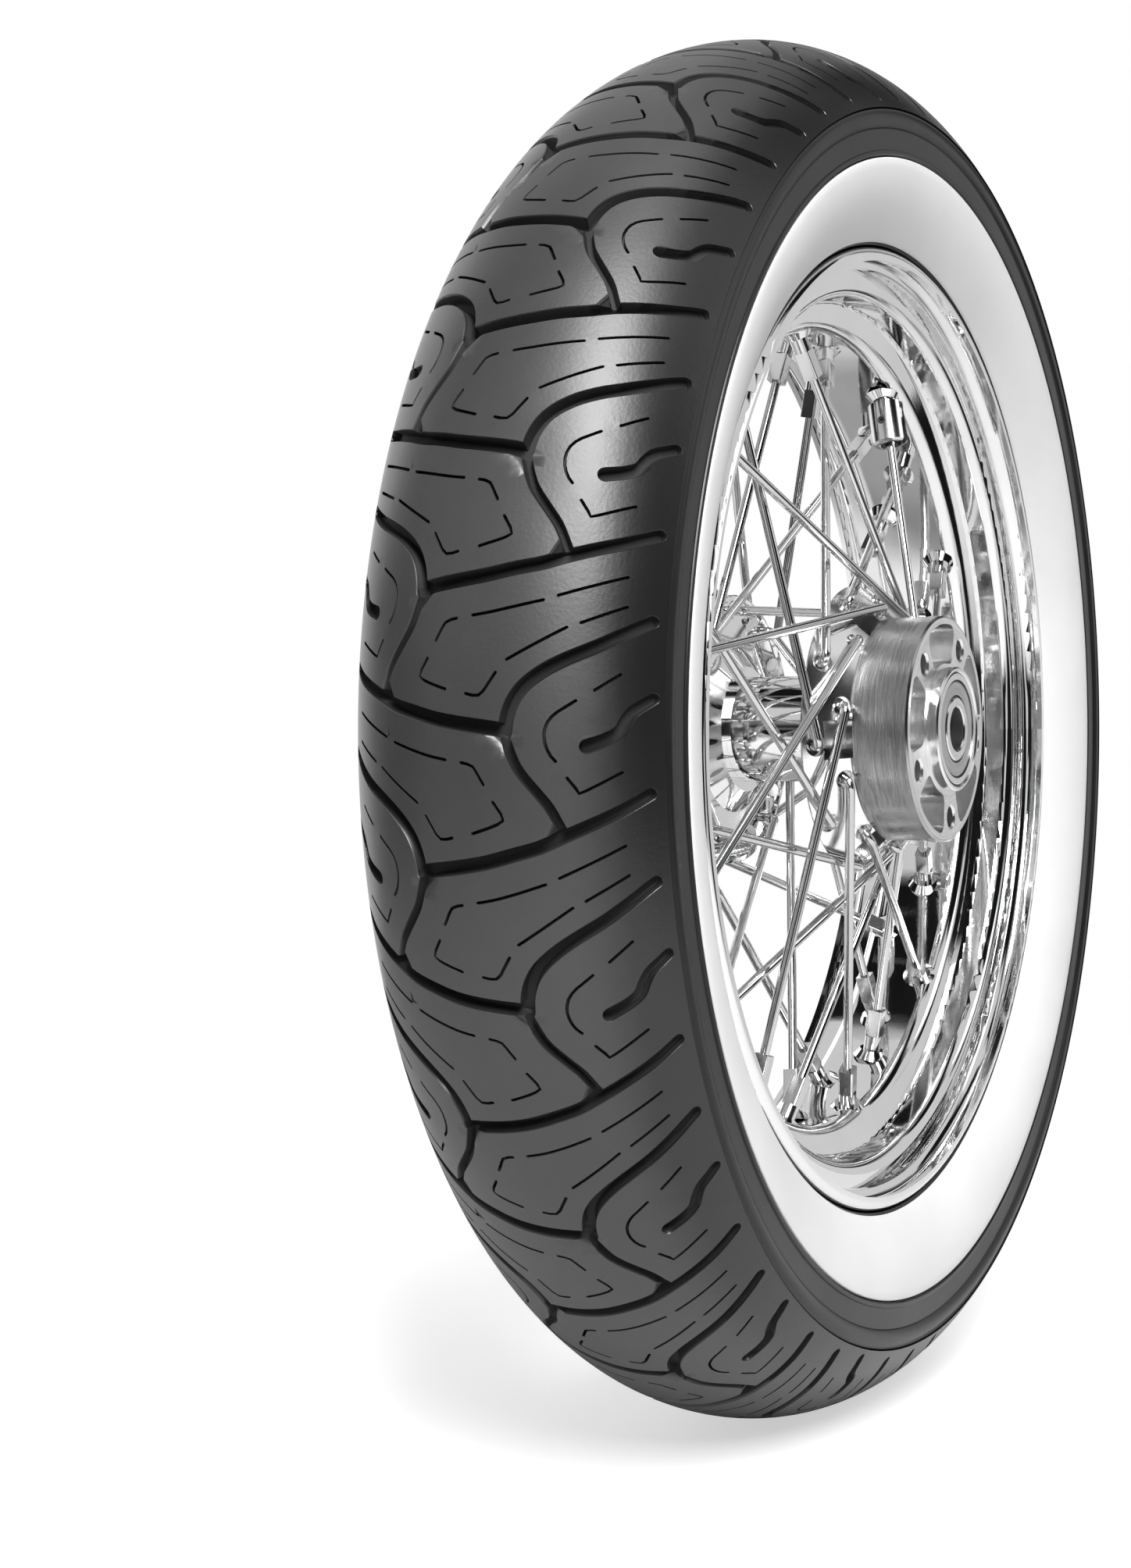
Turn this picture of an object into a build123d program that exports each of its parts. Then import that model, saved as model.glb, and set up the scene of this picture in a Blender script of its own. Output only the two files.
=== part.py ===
from build123d import *
import math
import os

# A rear motorcycle tyre with wide white sidewalls on its wire-spoked wheel.
# Millimetres. The origin is the wheel's centre, the axle lies along Y and +Z is up.
# The hub's five-hole face looks along -Y, which is called the near side here.
# Sections are drawn as (radius, axial) points in the XY plane and revolved about Y.

os.makedirs("parts", exist_ok=True)

NEAR, FAR = -1, 1                 # sign of Y on the two sides

# Tyre
TYRE_R = 317.6                    # outer radius at the crown
CROWN_ARC = 77.8                  # radius of the tread's cross arc
CROWN_END = 58.0                  # degrees of that arc to the shoulder ridge
WALL_SHOULDER = (272.5, 67.0)     # widest point
WALL_TOP = (259.7, 65.2)          # outer edge of the white band
WALL_MID = (244.0, 62.3)
WALL_LOW = (229.0, 55.6)
WHITE_IN = 224.5                  # inner radius of the white band
WHITE_T = 1.6
CASING = 65.5                     # radius of the cavity's cross arc
LINER_T, PLY_T, BELT_T = 1.2, 1.6, 1.2
BELT_OUTER_HALF, BELT_INNER_HALF = 45.0, 50.0
BEAD_R, BEAD_A = 209.5, 32.0      # centre of the bead wire bundle
BEAD_SIZE = 3.4

# Rim
RIM_T = 2.6
FLANGE_R = 221.5
FLANGE_A = 38.1                   # half of the 3.00 inch bead seat width
LIP_A = 53.0
SEAT_R = 202.8
WELL_R = 188.0
WELL_HALF = 19.0

# Lacing: (hub angle, hub radius, hub axial, wrap, rim axial) of the first spoke of a row of ten.
# Angles run from -X towards -Z, and axial positions are towards the near side.
SPOKES_IN_ROW = 10
ROW_STEP = 360 / SPOKES_IN_ROW
SPOKE_R = 2.2
NIPPLE_R, NIPPLE_SQUARE = 4.3, 7.4
NIPPLE_LENGTH = 24.0
SLOPE = math.sqrt(0.5)            # the spoke flange's face is at 45 degrees

# Hub
DRUM_R, DRUM_FACE, DRUM_BACK = 52.3, 74.1, 48.0
DRUM_STEP = 68.6                  # behind this the drum is turned down slightly
BOSS_R, BOSS_FACE = 28.6, 80.0
TUBE_R, TUBE_IN_R = 25.0, 19.0
BOLT_CIRCLE, BOLTS = 82.5, 5
BOLT_HOLE_R, BOLT_DEPTH = 4.8, 20.0
DISC_HOLE_R, DISC_DEPTH = 3.3, 14.0
FIRST_BOLT = 63.0                 # degrees from +X towards +Z
FAR_FACE = 62.0                   # disc face on the far side
FAR_FLANGE_R = 64.5
FAR_CONE = ((50.0, 43.0), (64.5, 35.0))   # outer face of the far spoke flange
FAR_SLOPE = math.atan2(8.0, 14.5)

# Bearings, 20 x 52 x 15
BEARING_R, BORE_R, BEARING_W = 26.0, 10.0, 15.0
BALL_R, BALL_PITCH_R, BALLS = 4.7625, 18.0, 7
GROOVE_GAP = 0.04
INNER_LAND_R, OUTER_LAND_R = 14.75, 21.5
NEAR_BEARING_FACE = 79.5
FAR_BEARING_FACE = 58.5

# Valve, on the side of the rim at -X
VALVE_ANGLE = -3.5
STEM_R, STEM_END = 4.1, 152.0
CORE_R, PIN_R = 2.4, 0.8

parts = {}


# Helpers

def ring(*outline):
    """The solid swept round the axle by a polygon of (radius, y) points."""
    return revolve(make_face(Polyline(*outline, close=True)), Axis.Y)


def tube_ring(inner, outer, low, high):
    """A plain ring between two radii and two y positions."""
    return ring((inner, low), (outer, low), (outer, high), (inner, high))


def mirrored(points):
    """(radius, axial) points of one half, followed by their mirror images in reverse."""
    return points + [(r, -a) for r, a in reversed(points)]


def place(angle, radius, axial):
    """The point at an angle from -X towards -Z, with axial measured towards the near side."""
    t = math.radians(angle)
    return Vector(-radius * math.cos(t), -axial, -radius * math.sin(t))


def around(shape, count, first=0.0):
    """Copies of a shape turned evenly about the axle, in the direction of the angles above."""
    step = 360 / count
    return [Rot(0, -(first + step * i), 0) * shape for i in range(count)]


def rod(start, end, radius):
    """A cylinder from one point to another."""
    axis = end - start
    plane = Plane(start, z_dir=axis)
    return extrude(plane * Circle(radius), axis.length)


def fuse(first, *others):
    """One solid made of several."""
    return first.fuse(*others) if others else first


def bodies(items):
    """Separate solids kept together as one node."""
    return Compound(children=[s for item in items for s in item.solids()])


# Tyre

def casing_line():
    """The cavity's section, from the bead toe on one side to the other."""
    angle = math.radians(61)
    shoulder = (TYRE_R - CROWN_ARC + CASING * math.cos(angle), CASING * math.sin(angle))
    crown = ThreePointArc((shoulder[0], -shoulder[1]), (TYRE_R - CROWN_ARC + CASING, 0), shoulder)
    upper = TangentArc(shoulder, (250, 58.0), tangent=(-math.sin(angle), math.cos(angle)))
    lower = TangentArc((250, 58.0), (222, 36.0), tangent=tuple(upper % 1)[:2])
    leg = FilletPolyline((222, 36.0), (214, 25.5), (198, 24.5), radius=6)
    half = [upper, lower, leg]
    other = [mirror(e, Plane.XZ) for e in half]
    return Wire([e for curve in [crown] + half + other for e in curve.edges()])


def inside(offset):
    """The region within the casing line grown outwards."""
    line = casing_line()
    if offset == 0:
        return Face(close(line))
    moved = [line.offset_2d(abs(offset), side=side, closed=False) for side in (Side.LEFT, Side.RIGHT)]
    smaller, larger = sorted((Face(close(wire)) for wire in moved), key=lambda face: face.area)
    return larger if offset > 0 else smaller


def close(wire):
    """The wire with its two ends joined by a straight line."""
    return Wire(list(wire.edges()) + [Edge.make_line(wire @ 1, wire @ 0)])


def tyre_outline():
    """The outside of the whole tyre's section, closed across the cavity."""
    angle = math.radians(CROWN_END)
    ridge = (TYRE_R - CROWN_ARC + CROWN_ARC * math.cos(angle), CROWN_ARC * math.sin(angle))
    crown = ThreePointArc((ridge[0], -ridge[1]), (TYRE_R, 0), ridge)
    shoulder = Polyline(ridge, WALL_SHOULDER, WALL_TOP)
    wall = ThreePointArc(WALL_TOP, WALL_MID, WALL_LOW)
    foot = FilletPolyline(WALL_LOW, (221.7, 50.6), (221.7, 38.0), (203.0, 38.0), (201.7, 24.0),
                          radius=[3.0, 9.7, 3.6])
    half = [shoulder, wall, foot]
    other = [mirror(e, Plane.XZ) for e in half]
    base = Line((201.7, 24.0), (201.7, -24.0))
    return Face(Wire([e for curve in [crown] + half + other + [base] for e in curve.edges()]))


def box_2d(low_r, high_r, low_a, high_a):
    """A rectangle in the section plane."""
    centre = ((low_r + high_r) / 2, (low_a + high_a) / 2)
    return Pos(*centre) * Rectangle(high_r - low_r, high_a - low_a)


def make_tyre():
    outline = tyre_outline()
    cavity = inside(0)
    liner_region = inside(LINER_T)
    ply_region = inside(LINER_T + PLY_T)
    belt_region = inside(LINER_T + PLY_T + BELT_T)
    top_region = inside(LINER_T + PLY_T + 2 * BELT_T)

    liner = (liner_region - cavity) & outline
    ply = (ply_region - liner_region) & outline
    belt_inner = (belt_region - ply_region) & box_2d(250, 330, -BELT_INNER_HALF, BELT_INNER_HALF)
    belt_outer = (top_region - belt_region) & box_2d(250, 330, -BELT_OUTER_HALF, BELT_OUTER_HALF)
    rubber = outline - ply_region - belt_inner - belt_outer

    angle = math.radians(CROWN_END)
    ridge = (TYRE_R - CROWN_ARC + CROWN_ARC * math.cos(angle), CROWN_ARC * math.sin(angle))
    edge = [(340, 90), (ridge[0] + 0.001, ridge[1] + 8), ridge, (272.0, 50.0)]
    tread_zone = make_face(Polyline(*mirrored(edge), close=True))
    parts["tread_cap"] = revolve(rubber & tread_zone, Axis.Y)
    parts["belt_ply_outer"] = revolve(belt_outer, Axis.Y)
    parts["belt_ply_inner"] = revolve(belt_inner, Axis.Y)
    parts["carcass_ply"] = revolve(ply, Axis.Y)
    parts["inner_liner"] = revolve(liner, Axis.Y)

    walls = rubber - tread_zone
    for side, name in ((NEAR, "near"), (FAR, "far")):
        half = walls & (box_2d(195, 330, 0, 90) if side > 0 else box_2d(195, 330, -90, 0))
        band = box_2d(WHITE_IN, WALL_TOP[0], 30, 90)
        band = band if side > 0 else mirror(band, Plane.XZ)
        white = (half & band) - Pos(0, -side * WHITE_T) * outline
        core = Pos(BEAD_R, side * BEAD_A) * RegularPolygon(BEAD_SIZE, 6)
        low, high = BEAD_R + BEAD_SIZE + 0.8, 232.0
        filler_points = [(low, side * (BEAD_A - 5)), (low, side * (BEAD_A + 3)),
                         (high, side * 52.0), (high, side * 44.0)]
        filler = make_face(Polyline(*filler_points, close=True)) - ply_region
        parts[f"sidewall_{name}"] = revolve(half - white - core - filler, Axis.Y)
        parts[f"whitewall_{name}"] = revolve(white, Axis.Y)
        parts[f"bead_core_{name}"] = revolve(core - ply_region, Axis.Y)
        parts[f"bead_filler_{name}"] = revolve(filler, Axis.Y)


# Rim

def rim_shell():
    """The rolled rim's section, revolved."""
    half = [(215.0, LIP_A), (FLANGE_R, LIP_A), (FLANGE_R, FLANGE_A), (SEAT_R, FLANGE_A),
            (SEAT_R - 1.4, 24.0), (WELL_R, WELL_HALF)]
    radii = [4.5, 9.5, 3.5, 5.0, 5.0]
    path = FilletPolyline(*mirrored(half), radius=radii + radii[::-1])
    wire = Wire(path.edges())
    section = Face(wire.offset_2d(RIM_T, side=Side.LEFT, closed=True))
    if section.center().X > Face(close(wire)).center().X:
        section = Face(wire.offset_2d(RIM_T, side=Side.RIGHT, closed=True))
    return revolve(section, Axis.Y)


class Row:
    """Ten spokes that leave one hub flange the same way."""

    def __init__(self, name, angle, radius, axial, wrap, rim_axial, slope, rise, grip):
        self.name = name
        self.grip = grip
        hole = place(angle, radius, axial)
        outward = place(angle, 1, 0)
        side = NEAR if axial > 0 else FAR
        normal = outward * math.sin(slope) + Vector(0, side * math.cos(slope), 0)
        if rise < 0:
            normal = Vector(0, -side, 0)
        normal = normal.normalized()
        self.side = side
        self.hole, self.normal = hole, normal
        self.bend = hole + normal * abs(rise)
        self.foot = place(angle + wrap, WELL_R - RIM_T / 2, rim_axial)
        self.direction = (self.foot - self.bend).normalized()

    def spoke(self):
        """Head, elbow and straight wire, in one solid."""
        head = self.hole - self.normal * self.grip
        tip = self.foot + self.direction * 0.5
        path = FilletPolyline(head, self.bend, tip, radius=3.2)
        start = Plane(head, z_dir=self.normal)
        wire = sweep(start * Circle(SPOKE_R), path=path)
        cap = extrude(start.offset(-1.6) * Circle(3.6), 1.8)
        return fuse(wire, cap)

    def nipple(self):
        """Cone head in the rim, round body, and square end for the spoke key."""
        seat = Plane(self.foot, z_dir=self.direction)
        head = seat.offset(1.4) * Circle(NIPPLE_R + 1.4)
        neck = seat.offset(-1.4) * Circle(NIPPLE_R)
        cone = loft([neck, head])
        body = extrude(seat.offset(-1.4) * Circle(NIPPLE_R), -9.0)
        square = extrude(seat.offset(-10.4) * RectangleRounded(NIPPLE_SQUARE, NIPPLE_SQUARE, 0.8),
                         10.4 - NIPPLE_LENGTH)
        slot = extrude(seat.offset(0.6) * Rectangle(14, 1.4), 3)
        hole = rod(self.foot - self.direction * 30, self.foot + self.direction * 0.6, SPOKE_R + 0.05)
        return fuse(cone, body, square) - slot - hole

    def seat_cut(self):
        """The hole that the nipple passes through."""
        seat = Plane(self.foot, z_dir=self.direction)
        cone = loft([seat.offset(-1.5) * Circle(NIPPLE_R + 0.1), seat.offset(1.5) * Circle(NIPPLE_R + 1.6)])
        mouth = extrude(seat.offset(1.4) * Circle(NIPPLE_R + 1.55), 6)
        through = extrude(seat.offset(-8) * Circle(NIPPLE_R + 0.1), 9)
        return fuse(cone, mouth, through)

    def dimple(self):
        """The raised boss round that hole, on the rim's hub side."""
        seat = Plane(self.foot, z_dir=self.direction)
        return loft([seat.offset(0.6) * Circle(9.0), seat.offset(-3.4) * Circle(6.2)])

    def hub_cut(self):
        """The hole that the spoke's elbow passes through, with a countersunk mouth."""
        face = Plane(self.hole, z_dir=self.normal)
        narrow = face.offset(-1.8) * Circle(SPOKE_R + 0.25)
        wide = face.offset(0.9) * Circle(SPOKE_R + 2.95)
        sink = loft([narrow, wide])
        return fuse(rod(self.hole - self.normal * 40, self.hole + self.normal * 6, SPOKE_R + 0.25), sink)

    def hub_head_cut(self):
        """The counterbore behind the flange that the head sits in."""
        return rod(self.hole - self.normal * 40, self.hole - self.normal * (self.grip - 0.25), 3.9)


ROWS = [
    Row("near_outer", -11, 53.5, 43.5, 75, 12.5, math.pi / 4, 5.4, 6.5),
    Row("near_inner", 7, 62.0, 34.5, -69, 3.5, math.pi / 4, 4.4, 6.5),
    Row("far_outer", -71, 57.0, -39.14, 72, -12.5, FAR_SLOPE, 5.2, 7.6),
    Row("far_inner", 94, 57.0, -32.5, -75, -3.5, 0.0, -5.2, 6.7),
]


def make_rim():
    shell = rim_shell()
    bosses, cuts = [], []
    for row in ROWS:
        bosses += around(row.dimple(), SPOKES_IN_ROW)
        cuts += around(row.seat_cut(), SPOKES_IN_ROW)
    inside_well = tube_ring(150, WELL_R - RIM_T / 2, -40, 40)
    shell = fuse(shell, *[b & inside_well for b in bosses])
    valve = rod(place(VALVE_ANGLE, WELL_R + 8, 0), place(VALVE_ANGLE, WELL_R - 8, 0), STEM_R + 0.3)
    parts["rim"] = shell - cuts - valve


def make_spokes():
    for row in ROWS:
        parts[f"spokes_{row.name}"] = bodies(around(row.spoke(), SPOKES_IN_ROW))
    for name, pair in (("near", ROWS[:2]), ("far", ROWS[2:])):
        nipples = [n for row in pair for n in around(row.nipple(), SPOKES_IN_ROW)]
        parts[f"nipples_{name}"] = bodies(nipples)


def make_balance_weight():
    """A slotted drum clamped on one nipple of the near outer row."""
    row = ROWS[0]
    turn = Rot(0, -ROW_STEP * 5, 0)
    low, high = -26.5, -4.5
    seat = Plane(row.foot, z_dir=row.direction)
    drum = extrude(seat.offset(low) * Circle(8.7), high - low)
    drum = chamfer(drum.edges().filter_by(GeomType.CIRCLE), 1.0)
    bore = extrude(seat.offset(low - 1) * Circle(5.4), high - low + 2)
    slot = extrude(seat.offset(low - 1) * (Pos(6, 0) * Rectangle(12, 5.0)), high - low + 2)
    screw_plane = Plane(row.foot + row.direction * (low + high) / 2, z_dir=seat.y_dir)
    tapped = extrude(screw_plane * Circle(2.0), -12)
    parts["balance_weight"] = turn * (drum - bore - slot - tapped)
    screw = extrude(screw_plane.offset(-5.5) * Circle(1.95), -2.6)
    socket = extrude(screw_plane.offset(-8.2) * RegularPolygon(1.1, 6), 1.6)
    parts["weight_screw"] = turn * (screw - socket)


# Hub

def sector(inner, outer, half_angle, radius):
    """A rounded sector centred on +X in the XZ plane, seen from the near side."""
    t = math.radians(half_angle)
    corner = [(inner * math.cos(t), inner * math.sin(t)), (outer * math.cos(t), outer * math.sin(t))]
    outline = [Line(corner[0], corner[1]),
               ThreePointArc(corner[1], (outer, 0), (corner[1][0], -corner[1][1])),
               Line((corner[1][0], -corner[1][1]), (corner[0][0], -corner[0][1])),
               ThreePointArc((corner[0][0], -corner[0][1]), (inner, 0), corner[0])]
    face = make_face(Wire([e for part in outline for e in part.edges()]))
    return fillet(face.vertices(), radius)


def face_plane(axial):
    """A plane square to the axle, looking towards the near side."""
    return Plane((0, -axial, 0), x_dir=(1, 0, 0), z_dir=(0, -1, 0))


def bolt_holes(axial, side, radius, depth):
    """Five tapped holes with a countersunk mouth, cut inwards from a face."""
    t = math.radians(FIRST_BOLT)
    centre = Vector(BOLT_CIRCLE / 2 * math.cos(t), -axial, BOLT_CIRCLE / 2 * math.sin(t))
    inward = Vector(0, -side, 0)
    hole = rod(centre - inward, centre + inward * depth, radius)
    mouth = Plane(centre, z_dir=inward)
    sink = loft([mouth * Circle(radius + 0.9), mouth.offset(0.9) * Circle(radius)])
    return around(fuse(hole, sink), BOLTS)


def make_hub():
    housing = BEARING_R + 0.02
    seat_back = NEAR_BEARING_FACE - BEARING_W
    half = [(housing, BOSS_FACE - 0.8), (housing + 0.8, BOSS_FACE), (BOSS_R - 0.8, BOSS_FACE),
            (BOSS_R, BOSS_FACE - 0.8), (BOSS_R, DRUM_FACE), (DRUM_R - 0.9, DRUM_FACE),
            (DRUM_R, DRUM_FACE - 0.9), (DRUM_R, DRUM_STEP), (DRUM_R - 0.6, DRUM_STEP - 0.5),
            (DRUM_R - 0.6, DRUM_BACK), (TUBE_R + 0.05, DRUM_BACK),
            (TUBE_R + 0.05, 52.0), (TUBE_IN_R, 52.0), (TUBE_IN_R, seat_back), (housing, seat_back)]
    drum = ring(*[(r, -a) for r, a in half])
    pocket = extrude(face_plane(DRUM_FACE + 1) * sector(BOSS_R + 1.6, DRUM_R - 3.8, 22.5, 4.5), -17)
    pockets = around(pocket, BOLTS, FIRST_BOLT + 36)
    parts["hub_drum"] = drum - pockets - bolt_holes(DRUM_FACE, NEAR, BOLT_HOLE_R, BOLT_DEPTH)

    gap = 0.05
    cone = [(TUBE_R + gap, 29.0), (66.0, 29.0), (67.2, 30.2), (50.0, 47.4), (50.0, DRUM_BACK - gap),
            (TUBE_R + gap, DRUM_BACK - gap)]
    hollow = tube_ring(37.0, 44.0, -DRUM_BACK, -36.0)
    star = ring(*[(r, -a) for r, a in cone]) - hollow
    notch = extrude(face_plane(DRUM_BACK + 1) * (Pos(-51, 0) * Rectangle(17, 17.5)), -12.5)
    cuts = around(notch, BOLTS, 5.0)
    for row in ROWS[:2]:
        cuts += around(row.hub_cut(), SPOKES_IN_ROW) + around(row.hub_head_cut(), SPOKES_IN_ROW)
    parts["star_flange"] = star - cuts

    parts["hub_tube"] = tube_ring(TUBE_IN_R, TUBE_R, -51.95, 43.0)

    edge = [(TUBE_R + gap, 26.0), (30.0, 26.0), (40.0, 32.5), (61.0, 32.5), (61.8, 31.2),
            (63.6, 31.2), (FAR_FLANGE_R, 32.2), FAR_CONE[1], FAR_CONE[0], (TUBE_R + gap, 43.0)]
    flange = ring(*edge)
    cuts = []
    for row in ROWS[2:]:
        cuts += around(row.hub_cut(), SPOKES_IN_ROW) + around(row.hub_head_cut(), SPOKES_IN_ROW)
    parts["far_flange"] = flange - cuts

    far_seat = FAR_BEARING_FACE - BEARING_W
    clip = (FAR_BEARING_FACE + 0.05, FAR_BEARING_FACE + 1.85)
    boss = [(TUBE_IN_R, 43.05), (47.0, 43.05), (48.6, 46.0), (48.6, FAR_FACE - 0.8),
            (47.8, FAR_FACE), (housing, FAR_FACE), (housing, clip[1]), (housing + 1.4, clip[1]),
            (housing + 1.4, clip[0]), (housing, clip[0]), (housing, far_seat - 0.02),
            (TUBE_IN_R, far_seat - 0.02)]
    parts["far_boss"] = ring(*boss) - bolt_holes(-FAR_FACE, FAR, DISC_HOLE_R, DISC_DEPTH)
    circlip = tube_ring(23.4, housing + 1.35, clip[0] + 0.05, clip[1] - 0.05)
    opening = Pos(24, (clip[0] + clip[1]) / 2, 0) * Box(10, 4, 8)
    parts["far_circlip"] = circlip - opening


# Bearings

def make_bearing(name, low):
    """A shielded deep groove ball bearing whose lower y face is at low."""
    high, middle = low + BEARING_W, low + BEARING_W / 2
    race = revolve(Pos(BALL_PITCH_R, middle) * Circle(BALL_R + GROOVE_GAP), Axis.Y)
    rebate_out, rebate_in = OUTER_LAND_R + 1.2, INNER_LAND_R - 0.6
    outer = ring((OUTER_LAND_R, low + 2.4), (rebate_out, low + 2.4), (rebate_out, low),
                 (BEARING_R - 0.5, low), (BEARING_R, low + 0.5), (BEARING_R, high - 0.5),
                 (BEARING_R - 0.5, high), (rebate_out, high), (rebate_out, high - 2.4),
                 (OUTER_LAND_R, high - 2.4))
    inner = ring((BORE_R, low + 0.6), (BORE_R + 0.6, low), (rebate_in, low), (INNER_LAND_R, low + 0.6),
                 (INNER_LAND_R, high - 0.6), (rebate_in, high), (BORE_R + 0.6, high),
                 (BORE_R, high - 0.6))
    parts[f"bearing_outer_ring_{name}"] = outer - race
    parts[f"bearing_inner_ring_{name}"] = inner - race

    ball = Pos(BALL_PITCH_R, middle, 0) * Sphere(BALL_R)
    parts[f"bearing_balls_{name}"] = bodies(around(ball, BALLS))
    cage = tube_ring(BALL_PITCH_R - 1.3, BALL_PITCH_R + 1.3, middle - 5.15, middle + 5.15)
    pocket = rod(Vector(BALL_PITCH_R - 6, middle, 0), Vector(BALL_PITCH_R + 6, middle, 0), BALL_R + 0.05)
    parts[f"bearing_cage_{name}"] = cage - around(pocket, BALLS)

    seals = []
    for edge, inward in ((low, 1), (high, -1)):
        seals.append(tube_ring(INNER_LAND_R + 0.1, rebate_out - 0.02, min(edge + inward * 0.5, edge + inward * 2.3),
                               max(edge + inward * 0.5, edge + inward * 2.3)))
    parts[f"bearing_seals_{name}"] = bodies(seals)


def make_axle_spacer():
    low = -(NEAR_BEARING_FACE - BEARING_W)
    high = FAR_BEARING_FACE - BEARING_W
    spacer = tube_ring(BORE_R, 13.5, low, high)
    parts["axle_spacer"] = spacer


# Tube and valve

def make_tube():
    """The inflated inner tube, the rim strip under it and the valve through both."""
    low = WELL_R + 4.0
    fill = inside(-0.5) & box_2d(low, 330, -80, 80)
    seat = make_face(Polyline(*mirrored([(low - 1, 17.0), (SEAT_R - 0.4, 23.0), (SEAT_R + 5, 23.3),
                                         (330, 80)]), close=True))
    section = fill & seat
    section = fillet(section.vertices().filter_by(lambda v: v.X < SEAT_R + 3), 1.6)
    hollow = offset(section.face(), -2.0)
    tube = revolve(section - hollow, Axis.Y)
    base = rod(place(VALVE_ANGLE, low + 1.95, 0), place(VALVE_ANGLE, low - 1, 0), 9.0)
    parts["inner_tube"] = tube - base
    strip = tube_ring(low - 1.5, low - 0.1, -14, 14)
    parts["rim_strip"] = strip - rod(place(VALVE_ANGLE, low + 2, 0), place(VALVE_ANGLE, low - 6, 0), 4.6)

    def at(radius):
        return place(VALVE_ANGLE, radius, 0)

    foot = rod(at(low + 1.9), at(low - 0.05), 8.9)
    stem = rod(at(low), at(STEM_END), STEM_R)
    bore = rod(at(low + 3), at(STEM_END - 1), CORE_R + 0.05)
    parts["valve_stem"] = fuse(foot, stem) - bore
    inner_face = WELL_R - RIM_T
    nut_plane = Plane(at(inner_face - 0.4), z_dir=place(VALVE_ANGLE, -1, 0))
    nut = extrude(nut_plane * RegularPolygon(6.6, 6), 3.5)
    parts["valve_rim_nut"] = nut - rod(at(inner_face + 2), at(inner_face - 8), STEM_R + 0.02)
    core = rod(at(low - 4), at(STEM_END + 1.0), CORE_R)
    parts["valve_core"] = core - rod(at(low), at(STEM_END - 1), PIN_R + 0.1)
    parts["valve_core_pin"] = rod(at(low - 5.5), at(STEM_END - 0.6), PIN_R)
    cap = rod(at(STEM_END + 9), at(STEM_END - 4), STEM_R + 1.3)
    cap = chamfer(cap.edges().filter_by(GeomType.CIRCLE), 0.6)
    parts["valve_cap"] = cap - rod(at(STEM_END + 10), at(STEM_END - 2), STEM_R + 0.1)


make_tyre()
make_rim()
make_spokes()
make_balance_weight()
make_hub()
make_bearing("near", -NEAR_BEARING_FACE)
make_bearing("far", FAR_BEARING_FACE - BEARING_W)
make_axle_spacer()
make_tube()

for node, shape in parts.items():
    solids = shape.solids()
    part = solids[0] if len(solids) == 1 else Compound(children=list(solids))
    part.label = node
    export_step(part, f"parts/{node}.step")
    print(node, len(solids), round(sum(s.volume for s in solids) / 1000, 2), "cm3")
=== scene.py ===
import bpy
import math
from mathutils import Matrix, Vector
from mathutils.geometry import delaunay_2d_cdt


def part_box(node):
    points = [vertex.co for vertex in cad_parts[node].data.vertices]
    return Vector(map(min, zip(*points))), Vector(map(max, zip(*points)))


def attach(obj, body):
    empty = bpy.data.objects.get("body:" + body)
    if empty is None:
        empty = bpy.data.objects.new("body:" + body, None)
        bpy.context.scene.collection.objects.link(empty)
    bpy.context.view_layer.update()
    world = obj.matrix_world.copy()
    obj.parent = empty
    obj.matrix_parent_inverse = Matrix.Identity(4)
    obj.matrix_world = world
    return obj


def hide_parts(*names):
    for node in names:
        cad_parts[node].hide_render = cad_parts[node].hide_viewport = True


# Looks for a whitewall rear motorcycle tyre on its wire-spoked wheel.
# Metres, in the CAD's frame: the wheel's centre at the origin, the axle along Y, +Z up.
# The near side looks along -Y. Sections are (radius, axial) pairs, with axial towards the near side.
# The tread pattern is worked out flat and in millimetres, as (across, along) pairs.

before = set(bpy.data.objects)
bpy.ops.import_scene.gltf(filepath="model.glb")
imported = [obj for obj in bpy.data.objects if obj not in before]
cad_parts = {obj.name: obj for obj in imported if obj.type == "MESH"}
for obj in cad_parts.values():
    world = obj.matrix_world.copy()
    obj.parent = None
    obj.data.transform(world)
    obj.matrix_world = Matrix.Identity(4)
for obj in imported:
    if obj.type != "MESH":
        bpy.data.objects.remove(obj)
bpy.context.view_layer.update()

MM = 0.001
NEAR, FAR = 1, -1                       # sign of the axial coordinate on the two sides

TYRE_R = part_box("tread_cap")[1].z       # radius at the crown
CROWN_ARC = 77.8 * MM                   # radius of the tread's cross arc
CROWN_END = math.radians(58)            # angle of that arc at the shoulder ridge
TREAD_HALF = CROWN_ARC * CROWN_END      # half width, measured along the surface


# ---------------------------------------------------------------- materials

GRAIN_HEIGHT = 0.2 * MM                 # of the fine bumps in rubber and metal
CORD_HEIGHT = 0.4 * MM
STREAK_SCALE = 0.0012                   # how fast a turned ring's streaks change with the angle
TURNED_SHADE_BLEND = 0.8 * MM                   # width of the painted shade's change from bright to darker turned metal
SHOULDER_SHADE_BLEND = (44 * MM, 70 * MM)     # axial place where painted shade darkens the tread from crown to shoulder
SHADE_WOBBLE = 16 * MM                # how far a noise shifts where that painted shade starts
CUT_SHADE_BLEND = (0.45 * MM, 1.5 * MM)       # depth below the crown where painted shade turns a cut's rubber black


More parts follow.
